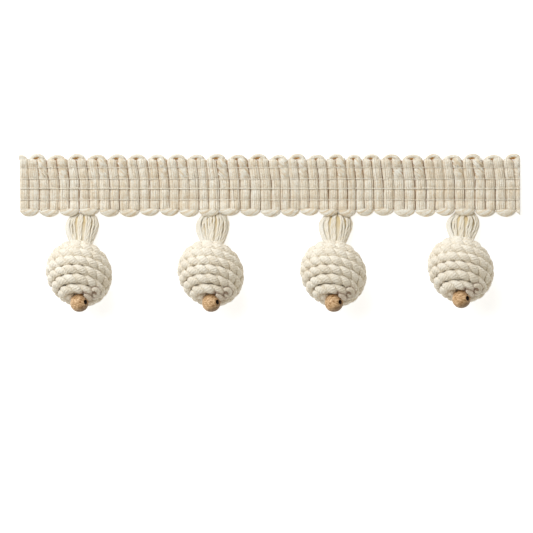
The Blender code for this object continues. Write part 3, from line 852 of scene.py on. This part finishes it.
def tucked_strand(centre):
    """The other strand's end: a lobe that bows out evenly between the bead and the first turn."""
    share = np.linspace(0, 1, TUCKED_STATIONS)[:, None]
    bow = 4 * share * (1 - share) * TUCKED_BOW
    return (centre + TUCKED_FROM + (TUCKED_TO - TUCKED_FROM) * share + bow)[None]


def loose_end(path, over, radius, painted_shade):
    """A strand's end as a tube, whose radius squared falls by the fourth power to both ends."""
    share = np.linspace(-1, 1, path.shape[1])
    rounded_off = radius * (1 - LOOSE_END_POINT * np.abs(share) ** 4) ** 0.5
    rings = tube(path, over, rounded_off, rounded_off, STRAND_SIDES)
    return rings, painted_shade, LOOSE_END_SHADE_TONE


# Two-strand cotton rope, unbleached: fuzzy and matt, with painted brown shade between its
# strands.
rope_cotton = spun_cotton(
    "two_strand_cotton_rope", "#fbf6e9", "#e2d4bb", "#85583a", 0.62 * MM, 6 * MM, 0.75 * MM
)
turned = np.linspace(ROPE_FROM, ROPE_TO, ROPE_STATIONS)
first_turns = smooth((PACKED_FROM - turned) / FIRST_SWELL_OVER)
packed = smooth((turned - PACKED_FROM) / PACKED_OVER)
station = np.arange(ROPE_STATIONS)
ends = END_SHARE + (1 - END_SHARE) * smooth(np.minimum(station, station[::-1]) / END_STATIONS)
backing = on_sphere(
    BACKING_RADIUS,
    np.linspace(POLE_GAP, np.pi - POLE_GAP, BACKING_RINGS)[:, None],
    np.linspace(0, 2 * np.pi, BACKING_SIDES, endpoint=False)[None],
)
for index, ball_centre in enumerate(BALL_CENTRES):
    axes, centre = ball_frame(ball_centre)
    route = rope_route(axes, centre)
    radial = unit(route - centre)
    strands, outward = twisted(route, radial, STRANDS, STRAND_HELIX, ROPE_LAY, 0.0)
    swollen = 1 + STRAND_UNEVENNESS * wander(51 + index, STRANDS, ROPE_STATIONS, 8)
    swollen = swollen + FIRST_SWELL * first_turns + PACKED_SWELL * packed
    on_top = 2 * (outward * radial).sum(-1) ** 2 - 1
    broad = (STRAND_BROAD + STRAND_SPREAD * on_top) * swollen * ends
    rings = tube(strands, outward, STRAND_THICK * swollen * ends, broad, STRAND_SIDES)
    rings = rested(rings, ROPE_SUNK)
    core = tube(route, radial, CORE_RADIUS * ends, CORE_RADIUS * ends, CORE_SIDES)
    ball = (backing @ axes @ BALL_OVAL + centre)[None]
    curled, tucked = curled_strand(centre), tucked_strand(centre)
    # Painted shade gathers round the loose ends and in the curl's middle.
    pit = curled[:, 4:].mean(axis=1)
    crevices = np.concatenate([tucked[0, ::3], curled[0, 6::4], pit])
    painted_shade = ball_painted_shade(rings, centre, crevices) * (1 - PACKED_LESS_SHADE * packed)[:, None]
    # The tucked end, under the first turn, has more painted shade than the curl.
    sets = [
        (rings, painted_shade, STRAND_TONES[:, None, None]),
        (core, BACKING_PAINTED_SHADE, 0.0),
        loose_end(curled, axes[1], CURL_RADIUS, painted_shade=0.05),
        loose_end(tucked, axes[1], TUCKED_RADIUS, painted_shade=0.26),
        (ball, BACKING_PAINTED_SHADE, 0.0),
    ]
    rings_piece(f"rope_ball_{index + 1}", sets, rope_cotton, f"ball_{index + 1}")


# ---- Necks: bundles of cotton yarn -----------------------
# Each ball hangs by about two dozen two-ply cotton yarns that come out flat from under the
# heading's loops, swell apart a little and are drawn together into the ball's upper end.

NECK_START_Y = 9.4 * MM
NECK_ROOT_Z = 0.95 * MM
NECK_PULL_OUT = 1.8 * MM  # how far the middle line runs straight out of the root
NECK_PULL_IN = 4.3 * MM  # and into the ball, which it enters to this depth
NECK_DEPTH = 11.6 * MM
NECK_END_ASIDE = 1.2 * MM
NECK_STATIONS = 44
NECK_WIDEST_AT = 0.40
NECK_HALF_WIDTHS = (3.9 * MM, 6.35 * MM, 3.2 * MM)  # at the root, the widest place and the plug
NECK_RISES = (0.35 * MM, 3.2 * MM, 2.4 * MM)
NECK_SUNK = 0.30 * MM  # how far the bundle's underside is pressed up by the table

FRONT, BACK = 1, -1
NECK_ROWS = ((FRONT, 14, 0.04, 0.90), (BACK, 9, 0.12, 0.88))  # yarns, and half turns they span
FULL_RING_AT = 0.35  # the share of the way at which the rows have become a ring
RING_LEAN = 0.35  # the ring leans back along Y by this share of its height
FLAT_ROW_SHARE = 0.96
NECK_CLUMPS = 4  # the yarns cling together in about this many clumps
NECK_CLING = 0.75
NECK_STRAY = 0.03  # how far yarns stray along the row, as a share of it
NECK_SWAY = 0.45 * MM  # and how much wider or narrower a yarn's own ring is
LOWEST_YARN = 0.7 * MM
NECK_PLY = 0.42 * MM
NECK_PLY_HELIX = 0.17 * MM
NECK_PLY_FLATNESS = 1.05
NECK_PLY_SIDES = 6
NECK_PLY_GROOVE = 0.38
NECK_LAY = 7.0 * MM
NECK_TONES = (-0.12, 0.16)
LOBE_TONE = 0.12

LOBES = np.array([(0.83, 0.62), (0.92, 0.78), (0.995, 0.72)])  # half turns, and radii in mm
LOBE_PROUD = 0.21
LOBE_FLATNESS = 1.15
LOBE_SIDES = 8
FILLING_SHARES = (0.88, 0.94)  # the filling's width and height, as shares of the bundle's
NECK_CORE_SIDES = 16
SLOT_PAINTED_SHADES = (0.28, 0.42)  # its shade between the yarns, and how much more near the root
SLOTS_UNTIL, SLOTS_FADE = 0.62, 0.35
NECK_SHADE, SHADE_BELOW, SHADE_FADE = 0.6, 0.2 * MM, 3.0 * MM
OUT_TILT = 0.2 * MM * UP  # tilts the yarns' outward directions up a little


def neck_line(share, root_x, axes, centre):
    """The neck's middle line: a cubic curve, flat out of the root and up into the ball."""
    start = np.array([root_x, NECK_START_Y, NECK_ROOT_Z]) + SHIFT
    pull_out = start + np.array([0, -NECK_PULL_OUT, 0])
    end = centre - axes[2] * NECK_DEPTH + axes[0] * NECK_END_ASIDE
    pull_in = end - axes[2] * NECK_PULL_IN
    left = 1 - share
    early = start * left**3 + pull_out * 3 * left**2 * share
    return early + pull_in * 3 * left * share**2 + end * share**3


def swell(share, sizes):
    """A size that grows from the root to the widest place and shrinks again to the plug."""
    root, widest, plug = sizes
    growing = root + (widest - root) * smooth(share / NECK_WIDEST_AT)
    past = (share - NECK_WIDEST_AT) / (1 - NECK_WIDEST_AT)
    return np.where(past < 0, growing, widest + (plug - widest) * smooth(past))


def neck_yarns(row, number, share, spine):
    """Middle lines of one row of yarns: side by side at the root, on an oval ring farther on.

    Their even places are moved by a sine with a wave for each clump, and then at random.
    """
    side, count, low, high = row
    place = np.linspace(0, 1, count)[:, None]
    turns = 2 * np.pi * NECK_CLUMPS
    place = place + NECK_CLING * np.sin(turns * place) / turns
    seed = 70 + number * 2 + side
    place = place + NECK_STRAY * wander(seed, count, NECK_STATIONS, 12)
    angle = np.pi * (low + (high - low) * place)
    half_width = swell(share, NECK_HALF_WIDTHS)
    half_width = half_width + NECK_SWAY * wander(seed + 20, count, NECK_STATIONS, 16)
    rise = swell(share, NECK_RISES)
    if side == BACK:
        rise = np.minimum(rise, np.maximum(0.0, spine[..., 2] - LOWEST_YARN))
    ring = smooth(share / FULL_RING_AT)
    x = half_width * ((1 - ring) * (1 - 2 * place) * FLAT_ROW_SHARE + ring * np.cos(angle))
    height = side * rise * ((1 - ring) + ring * np.sin(angle))
    return spine + np.stack([x, RING_LEAN * height, height], axis=-1)


def neck_lobes(place, number, share, spine):
    """Soft thick yarns at the neck's left side: on the same oval ring, proud of it by a sine."""
    stray = NECK_STRAY * wander(160 + number, len(LOBES), NECK_STATIONS, 12)
    proud = 1 + LOBE_PROUD * np.sin(np.pi * share) + stray
    x = swell(share, NECK_HALF_WIDTHS) * proud * np.cos(np.pi * place)
    height = swell(share, NECK_RISES) * proud * np.sin(np.pi * place)
    return spine + np.stack([x, RING_LEAN * height, height], axis=-1)


def neck_painted_shade(rings, height):
    """Painted shade that grows by an S curve from just below the neck's middle line to its
    underside.
    """
    below = height[..., None] - SHADE_BELOW - rings[..., 2]
    return NECK_SHADE * smooth(below / SHADE_FADE)


# Soft two-ply cotton yarn, hardly twisted: the palest part, with painted straw-coloured shade in
# the gaps.
neck_cotton = spun_cotton(
    "soft_two_ply_cotton_yarn", "#fcf9ef", "#e9dfca", "#d8b968", 0.38 * MM, 5 * MM, 0.4 * MM
)
lobe_radius = LOBES[:, 1:] * MM
for index, root_x in enumerate(NECK_ROOT_XS):
    axes, centre = ball_frame(BALL_CENTRES[index])
    share = np.linspace(0, 1, NECK_STATIONS)[None, :]
    spine = neck_line(share[..., None], root_x, axes, centre)
    wide = FILLING_SHARES[0] * swell(share, NECK_HALF_WIDTHS)
    high = FILLING_SHARES[1] * swell(share, NECK_RISES)
    filling = rested(tube(spine, UP, high, wide, NECK_CORE_SIDES), NECK_SUNK)
    # The filling shows between the yarns with painted shade, more near the root.
    slots = SLOT_PAINTED_SHADES[0] + SLOT_PAINTED_SHADES[1] * smooth((SLOTS_UNTIL - share) / SLOTS_FADE)
    sets = [(filling, slots[..., None], 0.0)]
    for row in NECK_ROWS:
        yarns = neck_yarns(row, index, share, spine)
        out = unit(yarns - spine + OUT_TILT)
        phases = np.random.default_rng(130 + index).uniform(0, 1, len(yarns))
        strands, outward = twisted(yarns, out, 2, NECK_PLY_HELIX, NECK_LAY, phases)
        rings = tube(strands, outward, NECK_PLY, NECK_PLY * NECK_PLY_FLATNESS, NECK_PLY_SIDES)
        rings = rested(rings, NECK_SUNK)
        # Painted shade in the grooves between plies and towards the bundle's underside.
        grooves = groove_shade(NECK_PLY_SIDES, NECK_PLY_GROOVE)
        painted_shade = np.maximum(neck_painted_shade(rings, spine[..., 2]), grooves)
        tone = np.random.default_rng(140 + index).uniform(*NECK_TONES, len(yarns))
        sets.append((rings, painted_shade, np.repeat(tone, 2)[:, None, None]))
    lobes = neck_lobes(LOBES[:, :1], index, share, spine)
    rings = tube(lobes, unit(lobes - spine), lobe_radius, lobe_radius * LOBE_FLATNESS, LOBE_SIDES)
    sets.append((rested(rings, NECK_SUNK), 0.0, LOBE_TONE))
    rings_piece(f"neck_yarns_{index + 1}", sets, neck_cotton, f"neck_{index + 1}")


# ---- Beads: turned hardwood ------------------------------
# A small round bead of pale hardwood, turned, drilled through and sanded, is glued in the
# rope's first turn, beside the strands' loose ends. Its hole shows at the right side.

BEAD_RADIUS = 4.05 * MM
BEAD_DISTANCE = 15.3 * MM
HOLE_RADIUS = 0.95 * MM
BEAD_RIM = 0.22 * MM
BEAD_ASIDE = 0.3 * MM
HOLE_TURN = np.radians(40)
HOLE_TILT = np.radians(14)
BEAD_SQUARENESS = 2.15
HOLE_EDGE = 0.25 * MM  # the hole's wall starts this far inside the outside's ends
BEAD_SHADE = 0.6  # the shade on the side that faces away from this direction
SHADE_AWAY = np.array([-0.5, 0.87, 0.0])
SHADE_FROM, SHADE_OVER = 0.6 * MM, 3.2 * MM


def bead_rings(axes, centre):
    """A closed profile carried round the hole's axis: a nearly round outside, down the hole."""
    level = np.cos(HOLE_TURN) * axes[0] + np.sin(HOLE_TURN) * axes[1]
    hole = np.cos(HOLE_TILT) * level + np.sin(HOLE_TILT) * axes[2]
    across = unit(np.cross(hole, axes[2]))
    upward = np.cross(hole, across)
    end = np.arccos((HOLE_RADIUS + BEAD_RIM) / BEAD_RADIUS)
    angle = np.linspace(-end, end, 25)
    c, s = rounded(angle, BEAD_SQUARENESS)
    outside = np.stack([BEAD_RADIUS * c, BEAD_RADIUS * s], axis=-1)
    top = outside[-1, 1]
    rim = np.array([[HOLE_RADIUS, top - HOLE_EDGE], [HOLE_RADIUS, HOLE_EDGE - top]])
    profile = np.concatenate([outside, rim])
    turn = np.linspace(0, 2 * np.pi, 48, endpoint=False)[:, None, None]
    ring = np.cos(turn) * across + np.sin(turn) * upward
    place = centre + axes[2] * BEAD_DISTANCE + axes[0] * BEAD_ASIDE
    return (place + profile[:, :1] * ring + profile[:, 1:] * hole)[None]


def turned_wood():
    """Turned pale hardwood: fine grain along the bead's hole, a dark painted shade, satin skin.
    """
    made, tree, shader = new_material(
        "turned_pale_hardwood", Roughness=0.55, Specular_IOR_Level=0.35
    )
    place = node(tree, "ShaderNodeTexCoord").outputs["Object"]
    stretch = node(
        tree, "ShaderNodeMapping", Vector=place, Rotation=(0.5, 0.3, 0.6), Scale=(0.45, 1.0, 1.0)
    )
    grain = node(
        tree,
        "ShaderNodeTexNoise",
        Vector=stretch.outputs[0],
        Scale=1 / (0.6 * MM),
        Detail=5.0,
        Distortion=0.1,
    ).outputs[0]
    ramp = node(tree, "ShaderNodeValToRGB", Fac=grain)
    stops = ramp.color_ramp.elements
    stops[0].position, stops[0].color = 0.30, linear("#93642f")
    stops[1].position, stops[1].color = 0.64, linear("#eecb9f")
    painted_shade = node(tree, "ShaderNodeAttribute", {"attribute_name": "painted_shade"}).outputs["Fac"]
    colours, painted_shade_colour = {"data_type": "RGBA"}, linear("#2e1c10")
    shaded = node(tree, "ShaderNodeMix", colours, s0=painted_shade, s6=ramp.outputs[0], s7=painted_shade_colour)
    tree.links.new(shaded.outputs[2], shader.inputs["Base Color"])
    bump = node(tree, "ShaderNodeBump", Strength=0.35, Distance=0.05 * MM, Height=grain)
    tree.links.new(bump.outputs[0], shader.inputs["Normal"])
    return made


bead_wood = turned_wood()
for index, ball_centre in enumerate(BALL_CENTRES):
    axes, centre = ball_frame(ball_centre)
    rings = bead_rings(axes, centre)
    # Painted shade on the bead's side away from the lamp.
    low_side = (centre + axes[2] * BEAD_DISTANCE - rings) @ SHADE_AWAY
    painted_shade = BEAD_SHADE * smooth((low_side - SHADE_FROM) / SHADE_OVER)
    painted_shade[..., -2:] = 1.0  # full painted shade on the hole's wall, the profile's last two points
    name, sets = f"drilled_bead_{index + 1}", [(rings, painted_shade, 0.0)]
    rings_piece(name, sets, bead_wood, f"bead_{index + 1}", closed=True)
